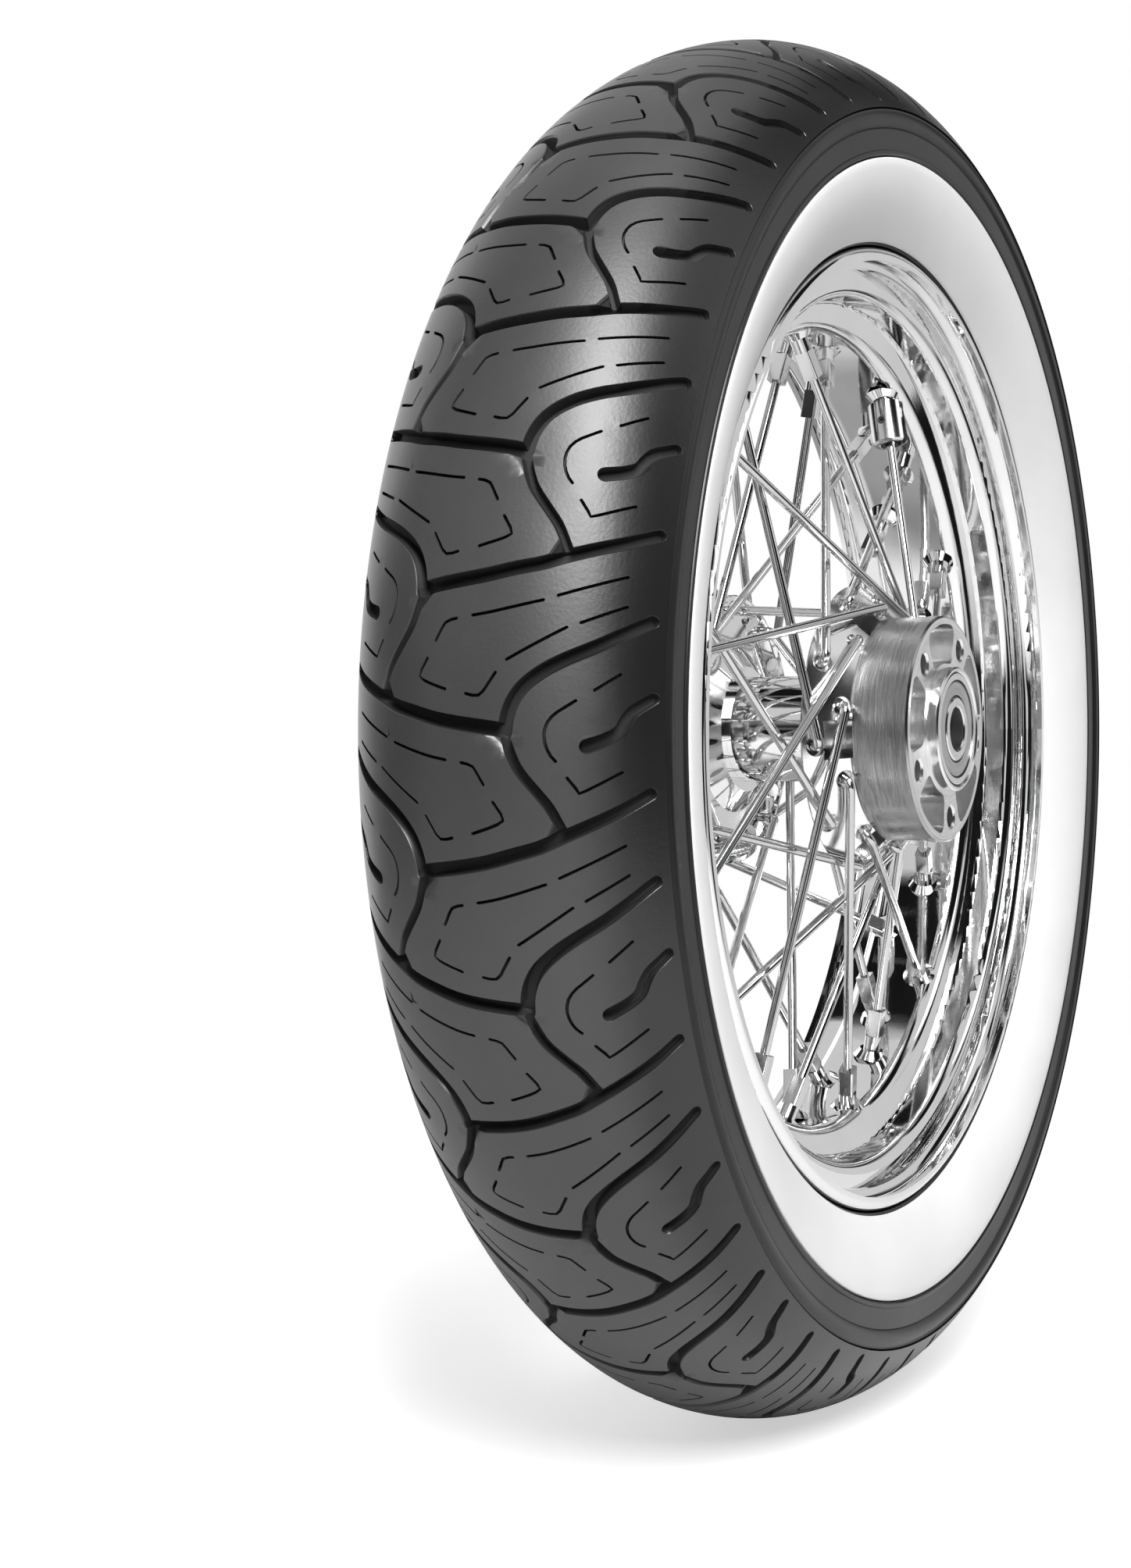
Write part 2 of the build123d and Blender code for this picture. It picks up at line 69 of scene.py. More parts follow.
class Graph:
    """A node tree, with short ways to add nodes to it. Values are sockets or plain numbers."""

    def __init__(self, tree):
        self.nodes, self.links = tree.nodes, tree.links

    def feed(self, socket, value):
        """Links a socket to another one, or sets its constant."""
        if isinstance(value, bpy.types.NodeSocket):
            self.links.new(value, socket)
        else:
            socket.default_value = value

    def maths(self, operation, *values):
        node = self.nodes.new("ShaderNodeMath")
        node.operation = operation
        for socket, value in zip(node.inputs, values):
            self.feed(socket, value)
        return node.outputs[0]

    def length(self, first, second):
        """The length of a vector that has these two parts."""
        squares = [self.maths("MULTIPLY", part, part) for part in (first, second)]
        return self.maths("SQRT", self.maths("ADD", *squares))

    def coordinate(self, kind):
        return self.nodes.new("ShaderNodeTexCoord").outputs[kind]

    def parts(self, vector):
        """The X, Y and Z of a vector."""
        split = self.nodes.new("ShaderNodeSeparateXYZ")
        self.feed(split.inputs["Vector"], vector)
        return split.outputs["X"], split.outputs["Y"], split.outputs["Z"]

    def noise(self, scale, detail, rough=0.5, distortion=0.0, vector=None):
        """A noise value, in object space unless it gets a vector of its own."""
        tex = self.nodes.new("ShaderNodeTexNoise")
        tex.inputs["Scale"].default_value = scale
        tex.inputs["Detail"].default_value = detail
        tex.inputs["Roughness"].default_value = rough
        tex.inputs["Distortion"].default_value = distortion
        if vector is None:
            vector = self.coordinate("Object")
        self.feed(tex.inputs["Vector"], vector)
        return tex.outputs["Fac"]

    def map_range(self, value, start, end, top=1.0, smooth=False):
        """A value carried from start..end to 0..top, and held there beyond the ends."""
        node = self.nodes.new("ShaderNodeMapRange")
        if smooth:
            node.interpolation_type = "SMOOTHSTEP"
        node.inputs["From Min"].default_value = start
        node.inputs["From Max"].default_value = end
        node.inputs["To Max"].default_value = top
        self.feed(node.inputs["Value"], value)
        return node.outputs["Result"]

    def ramp(self, value, stops):
        """A colour ramp: stops are (position, grey level) or (position, (red, green, blue))."""
        node = self.nodes.new("ShaderNodeValToRGB")
        elements = node.color_ramp.elements
        while len(elements) < len(stops):
            elements.new(0.5)
        for element, (position, colour) in zip(elements, stops):
            element.position = position
            element.color = (*colour, 1) if isinstance(colour, tuple) else (colour, colour, colour, 1)
        self.feed(node.inputs["Fac"], value)
        return node.outputs["Color"]

    def bump(self, height, strength, distance=GRAIN_HEIGHT):
        node = self.nodes.new("ShaderNodeBump")
        node.inputs["Strength"].default_value = strength
        node.inputs["Distance"].default_value = distance
        self.feed(node.inputs["Height"], height)
        return node.outputs["Normal"]


def new_material(name):
    """A node material, its graph and the inputs of its Principled shader."""
    mat = bpy.data.materials.new(name)
    mat.use_nodes = True
    return mat, Graph(mat.node_tree), mat.node_tree.nodes["Principled BSDF"].inputs


def rubber(name, dark, light, rough, grain=900, strength=0.25, shine=0.5):
    """Moulded rubber: mottled colour, gloss that varies between two roughnesses, and a fine grain."""
    mat, graph, inputs = new_material(name)
    patches = graph.noise(14, 6)
    fine = graph.noise(grain, 3)
    graph.feed(inputs["Base Color"], graph.ramp(patches, [(0.35, dark), (0.7, light)]))
    graph.feed(inputs["Roughness"], graph.ramp(patches, [(0.3, rough[0]), (0.75, rough[1])]))
    graph.feed(inputs["Normal"], graph.bump(fine, strength))
    inputs["Specular IOR Level"].default_value = shine
    return mat


def chrome(name, level, rough):
    """Plated metal: bright, with faint buffing haze."""
    mat, graph, inputs = new_material(name)
    haze = graph.noise(30, 5)
    fine = graph.noise(500, 3)
    colour = graph.ramp(haze, [(0.3, level), (0.7, min(1, level + 0.06))])
    gloss = graph.ramp(haze, [(0.35, rough), (0.75, rough * 2.2)])
    graph.feed(inputs["Base Color"], colour)
    graph.feed(inputs["Roughness"], gloss)
    graph.feed(inputs["Normal"], graph.bump(fine, 0.04))
    inputs["Metallic"].default_value = 1.0
    return mat


def turned(name, level, rough, lines=2600, shade_from=1.0, seams=()):
    """Lathe-turned metal: rings round the axle with slight streaks, and painted shade that darkens it
    beyond a radius.

    Seams are black lines of painted shade where parts meet, as (radius, half width) pairs.
    """
    mat, graph, inputs = new_material(name)
    x, y, z = graph.parts(graph.coordinate("Object"))
    radius = graph.length(x, z)
    polar = graph.nodes.new("ShaderNodeCombineXYZ")
    graph.feed(polar.inputs["X"], radius)
    graph.feed(polar.inputs["Y"], y)
    graph.feed(polar.inputs["Z"], graph.maths("MULTIPLY", graph.maths("ARCTAN2", z, x), STREAK_SCALE))
    rings = graph.noise(lines, 3, vector=polar.outputs["Vector"])
    patches = graph.noise(60, 4)
    # Painted shade: the metal's colour darkens beyond the given radius.
    bright = graph.map_range(radius, shade_from, shade_from - TURNED_SHADE_BLEND)
    tone = graph.maths("MULTIPLY", graph.maths("ADD", rings, bright), 0.5)
    stops = [(0.15, level * 0.36), (0.35, level * 0.6), (0.65, level * 0.75), (0.85, level)]
    # Painted shade: a black line at each seam, where the gap between parts lies in shade.
    for seam_radius, half_width in seams:
        away = graph.maths("ABSOLUTE", graph.maths("SUBTRACT", radius, seam_radius))
        seam_shade = graph.maths("LESS_THAN", away, half_width)
        tone = graph.maths("SUBTRACT", tone, seam_shade)
    if seams:
        stops.insert(0, (0.02, 0.010))
    graph.feed(inputs["Base Color"], graph.ramp(tone, stops))
    graph.feed(inputs["Roughness"], graph.ramp(patches, [(0.3, rough), (0.7, rough * 1.6)]))
    graph.feed(inputs["Normal"], graph.bump(rings, 0.35))
    inputs["Metallic"].default_value = 1.0
    return mat


def woven(name, dark, light):
    """Rubber-coated cord fabric."""
    mat, graph, inputs = new_material(name)
    wave = graph.nodes.new("ShaderNodeTexWave")
    wave.inputs["Scale"].default_value = 260
    wave.inputs["Distortion"].default_value = 1.0
    graph.feed(wave.inputs["Vector"], graph.coordinate("Object"))
    cords = wave.outputs["Fac"]
    graph.feed(inputs["Base Color"], graph.ramp(cords, [(0.2, dark), (0.8, light)]))
    graph.feed(inputs["Normal"], graph.bump(cords, 0.5, CORD_HEIGHT))
    inputs["Roughness"].default_value = 0.75
    return mat


def tread_rubber(name, crown, shoulder):
    """Tread rubber: grey on the crown and glossier at the shoulders; painted shade makes it blacker at
    the shoulders, which turn away from the light, and black in the cuts.
    """
    mat, graph, inputs = new_material(name)
    x, y, z = graph.parts(graph.coordinate("Object"))
    across = graph.maths("ABSOLUTE", y)
    wobble = graph.maths("MULTIPLY", graph.noise(9, 6), SHADE_WOBBLE)
    # Painted shade: the colour darkens towards the shoulders, which turn away from the light.
    share = graph.map_range(graph.maths("ADD", across, wobble), *SHOULDER_SHADE_BLEND, smooth=True)
    specks = graph.noise(120, 8, rough=0.7)
    tone = graph.maths("MULTIPLY_ADD", specks, 0.35, share)
    # Painted shade: below the crown, in the cuts, the rubber's colour turns black.
    height = graph.maths("SUBTRACT", graph.length(x, z), TYRE_R - CROWN_ARC)
    reach = graph.length(height, across)
    cut = graph.map_range(reach, CROWN_ARC - CUT_SHADE_BLEND[0], CROWN_ARC - CUT_SHADE_BLEND[1])
    tone = graph.maths("ADD", graph.maths("MULTIPLY", tone, 0.5), cut)
    wear = graph.maths("ADD", graph.maths("MULTIPLY", share, 0.5), cut)
    stops = [(0.05, crown), (0.22, crown * 0.75), (0.5, shoulder), (0.9, 0.003)]
    graph.feed(inputs["Base Color"], graph.ramp(tone, stops))
    graph.feed(inputs["Roughness"], graph.ramp(wear, [(0.0, 0.40), (0.5, 0.30), (0.95, 0.75)]))
    graph.feed(inputs["Normal"], graph.bump(graph.noise(650, 3), 0.30))
    inputs["Specular IOR Level"].default_value = 0.55
    return mat


MATERIALS = {
    # The tread's second grey is the shoulders' painted shade.
    "tread": tread_rubber("tread_rubber", 0.036, 0.007),
    "wall": rubber("wall_rubber", 0.006, 0.010, (0.26, 0.38), grain=500, strength=0.20, shine=0.26),
    "white": rubber("white_rubber", 0.57, 0.62, (0.45, 0.58), grain=1200, strength=0.10, shine=0.3),
    "soft": rubber("soft_rubber", 0.020, 0.035, (0.45, 0.60)),
    "chrome": chrome("bright_chrome", 0.80, 0.035),
    "spoke": chrome("spoke_plate", 0.58, 0.08),
    "nipple": chrome("nipple_plate", 0.62, 0.10),
    # Painted shade darkens the drum's colour beyond a 51.5 mm radius, on its outside.
    "drum": turned("turned_aluminium", 0.92, 0.16, shade_from=51.5 * MM),
    "polished": chrome("polished_aluminium", 0.92, 0.12),
    # The seams below are painted shade in the gaps between bearing parts.
    "steel": turned("ground_steel", 0.86, 0.14, lines=1800, seams=[(25.8 * MM, 0.3 * MM)]),
    "shield": turned("pressed_steel", 0.60, 0.30, lines=900,
                     seams=[(15.25 * MM, 0.42 * MM), (22.15 * MM, 0.55 * MM)]),
    "dark": chrome("blackened_steel", 0.10, 0.30),
    "brass": chrome("nickel_brass", 0.70, 0.16),
    "ply": woven("cord_ply", (0.05, 0.04, 0.03), (0.14, 0.11, 0.08)),
}

NODE_LOOKS = {
    "belt_ply_outer": "ply", "belt_ply_inner": "ply", "carcass_ply": "ply",
    "inner_liner": "soft", "bead_filler_near": "soft", "bead_filler_far": "soft",
    "bead_core_near": "steel", "bead_core_far": "steel",
    "inner_tube": "soft", "rim_strip": "soft", "rim": "chrome",
    "spokes_near_outer": "spoke", "spokes_near_inner": "spoke",
    "spokes_far_outer": "spoke", "spokes_far_inner": "spoke",
    "nipples_near": "nipple", "nipples_far": "nipple",
    "balance_weight": "nipple", "weight_screw": "dark",
    "hub_drum": "drum", "star_flange": "polished", "hub_tube": "chrome",
    "far_flange": "chrome", "far_boss": "drum", "far_circlip": "dark",
    "axle_spacer": "steel", "valve_stem": "brass", "valve_rim_nut": "brass",
    "valve_core": "brass", "valve_core_pin": "brass", "valve_cap": "nipple",
    "tread_cap": "tread",
}
for side in ("near", "far"):
    NODE_LOOKS[f"bearing_outer_ring_{side}"] = "steel"
    NODE_LOOKS[f"bearing_inner_ring_{side}"] = "steel"
    NODE_LOOKS[f"bearing_balls_{side}"] = "chrome"
    NODE_LOOKS[f"bearing_cage_{side}"] = "steel"
    NODE_LOOKS[f"bearing_seals_{side}"] = "shield"
    NODE_LOOKS[f"sidewall_{side}"] = "wall"
    NODE_LOOKS[f"whitewall_{side}"] = "white"


def dress_cad_nodes():
    """Gives every CAD node its material."""
    for name, look in NODE_LOOKS.items():
        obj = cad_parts[name]
        obj.data.materials.clear()
        obj.data.materials.append(MATERIALS[look])


# ---------------------------------------------------------------- mesh helpers

RING_SEGMENTS = 540                     # sections round each lathed ring


def on_wheel(radius, axial, theta):
    """The point at an angle from -X towards -Z."""
    return Vector((-radius * math.cos(theta), -axial, -radius * math.sin(theta)))


def make_piece(name, verts, faces, look, sharp):
    """A mesh that rides on the wheel, shaded smooth up to the sharp angle in degrees."""
    mesh = bpy.data.meshes.new(name)
    mesh.from_pydata(verts, [], faces)
    mesh.validate()
    obj = bpy.data.objects.new(name, mesh)
    bpy.context.scene.collection.objects.link(obj)
    mesh.materials.append(MATERIALS[look])
    mesh.shade_smooth()
    mesh.set_sharp_from_angle(angle=math.radians(sharp))
    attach(obj, "wheel")
    return obj


def lathe(name, profile, side, look, sharp):
    """A closed ring: a polygon of (radius, axial) points in millimetres, swept round the axle."""
    count = len(profile)
    verts, faces = [], []
    for i in range(RING_SEGMENTS):
        theta = 2 * math.pi * i / RING_SEGMENTS
        verts += [on_wheel(radius * MM, side * (axial * MM), theta) for radius, axial in profile]
    for i in range(RING_SEGMENTS):
        here, there = i * count, (i + 1) % RING_SEGMENTS * count
        for k in range(count):
            n = (k + 1) % count
            quad = (here + k, here + n, there + n, there + k)
            faces.append(quad if side == NEAR else quad[::-1])
    return make_piece(name, verts, faces, look, sharp)


# ---------------------------------------------------------------- tread pattern, in millimetres

PITCHES = 19
PITCH = 2 * math.pi * TYRE_R / PITCHES / MM
HALF = PITCH / 2
PATTERN_TURN = 2.5 * MM / TYRE_R        # where the first pitch starts, as an angle
COLUMNS = 22                            # rows of land points in one pitch
LAND_STEP = 4.8                         # between land points across the tread
LAND_GAP = 1.1                          # from a cut's edge to the nearest land point
CUT_ROOM = 5                            # more than any cut's half width and gap together
OVERHANG = 3                            # cuts this far outside a pitch still touch it
MAIN_DEPTH = 6.0
SIPE_DEPTH = 2.6
SIPE_WIDTH = 1.25
GROOVE_SCALE = 1.12                     # on the groove widths below
FACET_DEPTH = 3.5                       # of a facet's sunk corner
FACET_ROOM = 0.12                       # land points keep this share of a facet away from it
SHALLOW_FROM = 38                       # across the tread, where cuts start to get shallower
SHALLOW_OVER = 38                       # width of that change
SHALLOW_LOSS = 0.38                     # share of the depth that they lose
SKIN = 6.9 * MM                         # tread rubber below the surface, in metres
BASE_STEPS = 6                          # strips across the tread's underside
BASE_SHARE = 0.93                       # its width as a share of the crown's
KEY_GRID = 400                          # points within 1/400 mm are the same vertex
SPLINE_STEPS = 8

# Centre lines of the right half's cuts in one pitch, as (across, along).
# The pattern's left half is the same, mirrored and moved by half a pitch.
GROOVES = [   # points, width at start and end, share of the main depth
    ([(18.8, -1.3), (19.7, -7.3), (22, -13.3), (26, -18.6), (32.7, -23.9), (41, -28.6), (51, -33.4),
      (61, -38.9), (69, -43.6), (72.5, -45.5)], 4.8, 4.6, 1.0),
    ([(18.8, 1.0), (22, 9.4), (24.7, 14.1), (31.1, 22.1), (34.7, 27), (38.9, 35.5)], 3.6, 3.2, 0.75),
    ([(-18.8, HALF - 1.5), (-15, 50.0), (0, 47.9), (10, 46.2), (20, 43.7), (30, 41.2), (38.9, 37.8),
      (50.6, 33.4), (60.7, 29.4), (69, 25.4), (72.5, 23.7)], 5.0, 4.4, 1.0),
    ([(48.5, 4.1), (55.5, 1.7), (60.7, -1.3), (63, -5.3), (65.8, -9.3), (70.8, -12.6), (74, -14.6)],
     5.0, 4.2, 0.9),
]
SIPES = [
    [(44.5, -13.1), (40.6, -10.5), (36.8, -7.9), (34.2, -4.6), (33.2, -0.6), (33.6, 3.4), (35.2, 7.1),
     (37.2, 9.5)],
    [(51.2, -17.1), (60.7, -23.5)],
    [(41.2, 15.7), (44.8, 20.4), (46.6, 21.3), (61.5, 14.4)],
    [(5, -43.8), (12, -45.0), (21, -47.2), (31.3, -50.0)],
    [(36.5, -52.0), (49, -56.8), (61.5, -61.8)],
    [(19, -27.7), (29, -33.6), (40.3, -40.3)],
    [(45.3, -42.3), (62, -50.0)],
    [(3.4, -15.3), (7.4, -14.5), (9.7, -15.3), (11.7, -18.0), (15.0, -23.0)],
    [(-13.7, -28.5), (-17.2, -23.0), (-16.7, -21.2), (-12.7, -19.4), (-5.2, -17.0)],
    [(-1.5, -42.8), (-6.0, -41.6), (-8.5, -37.8), (-10.3, -34.8)],
]
FACETS = [    # sloping chamfers where grooves branch: two points on the surface, then the sunk corner
    [(10.5, -0.8), (18.9, 6.8), (18.8, -1.0)],
    [(31.4, 38.2), (35.2, 31.0), (37.5, 36.5)],
]

# How a cut's wall goes down, as (offset from the nominal edge, drop) steps.
SIPE_SECTION = [(0.0, 0.0), (-0.14, SIPE_DEPTH)]


def groove_section(depth):
    """Rounded top edge, steep wall, rounded foot."""
    return [(0.16, 0.0), (-0.02, 0.25), (-0.40, depth - 0.9), (-1.00, depth)]


def smooth_line(points, step):
    """A curve through the points, sampled about every step."""
    first = (2 * points[0][0] - points[1][0], 2 * points[0][1] - points[1][1])
    last = (2 * points[-1][0] - points[-2][0], 2 * points[-1][1] - points[-2][1])
    ext = [first] + points + [last]
    dense = []
    for i in range(1, len(ext) - 2):
        p0, p1, p2, p3 = ext[i - 1:i + 3]
        for k in range(SPLINE_STEPS):
            u = k / SPLINE_STEPS
            dense.append(tuple(0.5 * (2 * p1[j] + (p2[j] - p0[j]) * u
                                      + (2 * p0[j] - 5 * p1[j] + 4 * p2[j] - p3[j]) * u ** 2
                                      + (3 * p1[j] - p0[j] - 3 * p2[j] + p3[j]) * u ** 3)
                               for j in (0, 1)))
    dense.append(points[-1])
    return resample(dense, step)


def resample(points, step):
    """Evenly spaced points along a polyline."""
    lengths = [0.0]
    for a, b in zip(points, points[1:]):
        lengths.append(lengths[-1] + math.dist(a, b))
    count = max(1, round(lengths[-1] / step))
    out, k = [], 0
    for i in range(count + 1):
        want = lengths[-1] * i / count
        while k < len(points) - 2 and lengths[k + 1] < want:
            k += 1
        u = (want - lengths[k]) / max(1e-9, lengths[k + 1] - lengths[k])
        a, b = points[k], points[k + 1]
        out.append(tuple(a[j] + (b[j] - a[j]) * u for j in (0, 1)))
    return out


def flipped(line, shift, flip):
    """A line moved along the tread, and mirrored across it if flip is set."""
    return [(-s if flip else s, t + shift) for s, t in line]


class Cut:
    """A groove or sipe: its centre line, the half width at each point of it, and its section."""

    MIN_HALF = 0.05
    FLAT_TOP = 0.02                     # the section's top edge counts as land up to this far in

    def __init__(self, line, half, section, caps):
        self.line, self.half, self.section, self.caps = line, half, section, caps

    def moved(self, shift, flip):
        return Cut(flipped(self.line, shift, flip), self.half, self.section, self.caps)

    def loop(self, offset):
        """The outline at the half width plus an offset, with rounded ends."""
        line, left, right = self.line, [], []
        last = len(line) - 1
        for i, (s, t) in enumerate(line):
            a, b = line[max(0, i - 1)], line[min(last, i + 1)]
            size = math.hypot(b[0] - a[0], b[1] - a[1])
            n = (-(b[1] - a[1]) / size, (b[0] - a[0]) / size)
            w = max(self.MIN_HALF, self.half[i] + offset)
            left.append((s + n[0] * w, t + n[1] * w))
            right.append((s - n[0] * w, t - n[1] * w))
        return left + self.cap(last, offset, 1) + right[::-1] + self.cap(0, offset, -1)

    def cap(self, i, offset, sign):
        """The half circle that closes one end: sign is 1 for the last point, -1 for the first."""
        (s, t), before = self.line[i], self.line[i - sign]
        heading = math.atan2(t - before[1], s - before[0])
        w = max(self.MIN_HALF, self.half[i] + offset)
        turns = range(1, self.caps)
        angles = [heading + math.pi / 2 - math.pi * k / self.caps for k in turns]
        return [(s + w * math.cos(x), t + w * math.sin(x)) for x in angles]

    def distance(self, s, t):
        """Distance of a point from the nominal edge: negative inside the cut."""
        best = 1e9
        for i in range(len(self.line) - 1):
            (ax, ay), (bx, by) = self.line[i], self.line[i + 1]
            dx, dy = bx - ax, by - ay
            u = min(1, max(0, ((s - ax) * dx + (t - ay) * dy) / (dx * dx + dy * dy)))
            w = self.half[i] + (self.half[i + 1] - self.half[i]) * u
            best = min(best, math.hypot(s - ax - dx * u, t - ay - dy * u) - w)
        return best

    def crowds(self, s, t):
        """True where a land point would be too close."""
        return self.distance(s, t) < LAND_GAP

    def drop(self, s, t):
        """Depth below the surface at a point, for points that belong to another cut."""
        offset, steps = self.distance(s, t), self.section
        if offset >= steps[0][0] - self.FLAT_TOP:
            return 0.0
        for (o1, d1), (o2, d2) in zip(steps, steps[1:]):
            if offset >= o2:
                return d1 + (d2 - d1) * (o1 - offset) / (o1 - o2)
        return steps[-1][1]


class Facet:
    """A plane triangle that slopes down from two points on the surface to a corner inside a groove."""

    section = [(0.0, 0.0)]
    SIDE_STEPS = 4

    def __init__(self, line):
        self.line = line

    def moved(self, shift, flip):
        return Facet(flipped(self.line, shift, flip))

    def loop(self, offset):
        """The outline, with points along each side. A facet has no width for an offset to change."""
        out = []
        for (ax, ay), (bx, by) in zip(self.line, self.line[1:] + self.line[:1]):
            shares = [k / self.SIDE_STEPS for k in range(self.SIDE_STEPS)]
            out += [(ax + (bx - ax) * u, ay + (by - ay) * u) for u in shares]
        return out

    def weights(self, s, t):
        """A point's barycentric weights: all of them are above zero inside the triangle."""
        (ax, ay), (bx, by), (cx, cy) = self.line
        area = (bx - ax) * (cy - ay) - (cx - ax) * (by - ay)
        first = ((bx - s) * (cy - t) - (cx - s) * (by - t)) / area
        second = ((cx - s) * (ay - t) - (ax - s) * (cy - t)) / area
        return first, second, 1 - first - second

    def crowds(self, s, t):
        return min(self.weights(s, t)) > -FACET_ROOM

    def drop(self, s, t):
        weights = self.weights(s, t)
        return weights[2] * FACET_DEPTH if min(weights) > -1e-4 else 0.0


def tapered(line, start, end):
    """The half width at each point of a line whose width changes from start to end."""
    last = len(line) - 1
    return [(start + (end - start) * i / last) / 2 for i in range(last + 1)]


def tread_cuts():
    """Every cut that touches one pitch."""
    base = []
    for points, start, end, share in GROOVES:
        line = smooth_line(points, 2.2)
        half = tapered(line, start * GROOVE_SCALE, end * GROOVE_SCALE)
        base.append(Cut(line, half, groove_section(MAIN_DEPTH * share), caps=8))
    for points in SIPES:
        line = smooth_line(points, 2.6) if len(points) > 2 else resample(points, 5)
        base.append(Cut(line, tapered(line, SIPE_WIDTH, SIPE_WIDTH), SIPE_SECTION, caps=4))
    base += [Facet(corners) for corners in FACETS]
    whole = []
    for cut in base:
        for turn in (-1, 0, 1):
            whole.append(cut.moved(turn * PITCH, False))
            whole.append(cut.moved(HALF + turn * PITCH, True))
    return [c for c in whole if any(-OVERHANG < t < PITCH + OVERHANG for _, t in c.line)]


def depth_share(s):
    """Cuts get shallower over the shoulder."""
    u = min(1, max(0, (abs(s) - SHALLOW_FROM) / SHALLOW_OVER))
    return 1 - SHALLOW_LOSS * u * u * (3 - 2 * u)


def cut_box(cut):
    """(lowest across, highest across, lowest along, highest along) of a cut, with room for its width."""
    across, along = zip(*cut.line)
    return (min(across) - CUT_ROOM, max(across) + CUT_ROOM,
            min(along) - CUT_ROOM, max(along) + CUT_ROOM)


def in_box(box, s, t):
    return box[0] < s < box[1] and box[2] < t < box[3]


def cut_outlines(cuts):
    """The points and edges of the cuts' outlines, and {point: (cut, drop)}."""
    points, edges, owner = [], [], {}
    for c, cut in enumerate(cuts):
        for offset, drop in cut.section:
            loop = cut.loop(offset)
            start = len(points)
            points += loop
            edges += [(start + i, start + (i + 1) % len(loop)) for i in range(len(loop))]
            owner.update({start + i: (c, drop) for i in range(len(loop))})
    return points, edges, owner


def crowded(cuts, boxes, s, t):
    """True where a land point would be too close to some cut."""
    return any(in_box(box, s, t) and cut.crowds(s, t) for cut, box in zip(cuts, boxes))


def add_land(points, edges, cuts, boxes):
    """Adds the points of the plain surface, and edges along the pitch's four borders."""
    half_width = TREAD_HALF / MM
    rows = round(2 * half_width / LAND_STEP)
    for j in range(COLUMNS + 1):
        t = PITCH * j / COLUMNS
        previous = None
        for i in range(rows + 1):
            s = -half_width + 2 * half_width * i / rows
            if i not in (0, rows) and crowded(cuts, boxes, s, t):
                continue
            points.append((s, t))
            index = len(points) - 1
            if j in (0, COLUMNS) and previous is not None:
                edges.append((previous, index))
            previous = index
    for s in (-half_width, half_width):
        column = [k for k, p in enumerate(points) if abs(p[0] - s) < 1e-9]
        column.sort(key=lambda k: points[k][1])
        edges += list(zip(column, column[1:]))


def tile():
    """One pitch of the tread as points (across, along, drop) and triangles."""
    cuts = tread_cuts()
    boxes = [cut_box(cut) for cut in cuts]
    points, edges, owner = cut_outlines(cuts)
    add_land(points, edges, cuts, boxes)
    flat = [Vector(p) for p in points]
    coords, _, triangles, origins, _, _ = delaunay_2d_cdt(flat, edges, [], 0, 1e-5)
    surface = []
    for (s, t), source in zip(coords, origins):
        owners = dict(owner[k] for k in source if k in owner)
        deepest = max(owners.values(), default=0.0)
        for c, (cut, box) in enumerate(zip(cuts, boxes)):
            if c not in owners and in_box(box, s, t):
                deepest = max(deepest, cut.drop(s, t))
        surface.append((s, t, deepest * depth_share(s)))
    widest = TREAD_HALF / MM + 1e-4
    kept = []
    for tri in triangles:
        t = sum(coords[k][1] for k in tri) / 3
        if 0 < t < PITCH and all(abs(coords[k][0]) <= widest for k in tri):
            kept.append(tri)
    return surface, kept


def on_crown(s, drop, theta):
    """A point of the tread surface, s metres from the middle along its cross arc."""
    phi = s / CROWN_ARC
    centre = TYRE_R - CROWN_ARC
    size = CROWN_ARC - drop
    return on_wheel(centre + size * math.cos(phi), size * math.sin(phi), theta)


def vertex_key(s, along):
    """A whole-number key by which neighbouring pitches find the vertices that they share."""
    return round(s * KEY_GRID), round(along * KEY_GRID) % round(PITCHES * PITCH * KEY_GRID)


def make_tread():
    """The grooved tread: one pitch worked out flat, wrapped on the crown and repeated round the tyre."""
    points, triangles = tile()
    used = sorted({k for tri in triangles for k in tri})
    seen, verts, faces = {}, [], []
    for turn in range(PITCHES):
        vertex = {}
        for k in used:
            s, t, drop = points[k]
            key = vertex_key(s, turn * PITCH + t)
            if key not in seen:
                theta = (turn + t / PITCH) * 2 * math.pi / PITCHES + PATTERN_TURN
                seen[key] = len(verts)
                verts.append(on_crown(s * MM, drop * MM, theta))
            vertex[k] = seen[key]
        for a, b, c in triangles:
            tri = (vertex[a], vertex[b], vertex[c])
            if len(set(tri)) == 3:
                faces.append(tri)
    close_tread(seen, verts, faces)
    obj = make_piece("tread", verts, faces, "tread", 32)
    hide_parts("tread_cap")


def close_tread(seen, verts, faces):
    """The tread's underside, joined to both edges of the patterned surface."""
    edge = TREAD_HALF / MM
    inner = CROWN_ARC - SKIN
    angles = [CROWN_END * BASE_SHARE * (1 - 2 * k / BASE_STEPS) for k in range(BASE_STEPS + 1)]
    count = PITCHES * COLUMNS
    rings = []
    for i in range(count):
        theta = 2 * math.pi * i / count + PATTERN_TURN
        along = i * PITCH / COLUMNS
        ring = [seen[vertex_key(edge, along)]]
        for phi in angles:
            ring.append(len(verts))
            radius = TYRE_R - CROWN_ARC + inner * math.cos(phi)
            verts.append(on_wheel(radius, inner * math.sin(phi), theta))
        rings.append(ring + [seen[vertex_key(-edge, along)]])
    for i in range(count):
        here, there = rings[i], rings[(i + 1) % count]
        for k in range(len(here) - 1):
            faces.append((here[k], there[k], there[k + 1], here[k + 1]))


# ---------------------------------------------------------------- sidewalls

def arc(centre, radius, start, end, count):
    """Points on an arc, in degrees from the outward radius towards the near side."""
    out = []
    for k in range(count + 1):
        x = math.radians(start + (end - start) * k / count)
        out.append((centre[0] + radius * math.cos(x), centre[1] + radius * math.sin(x)))
    return out


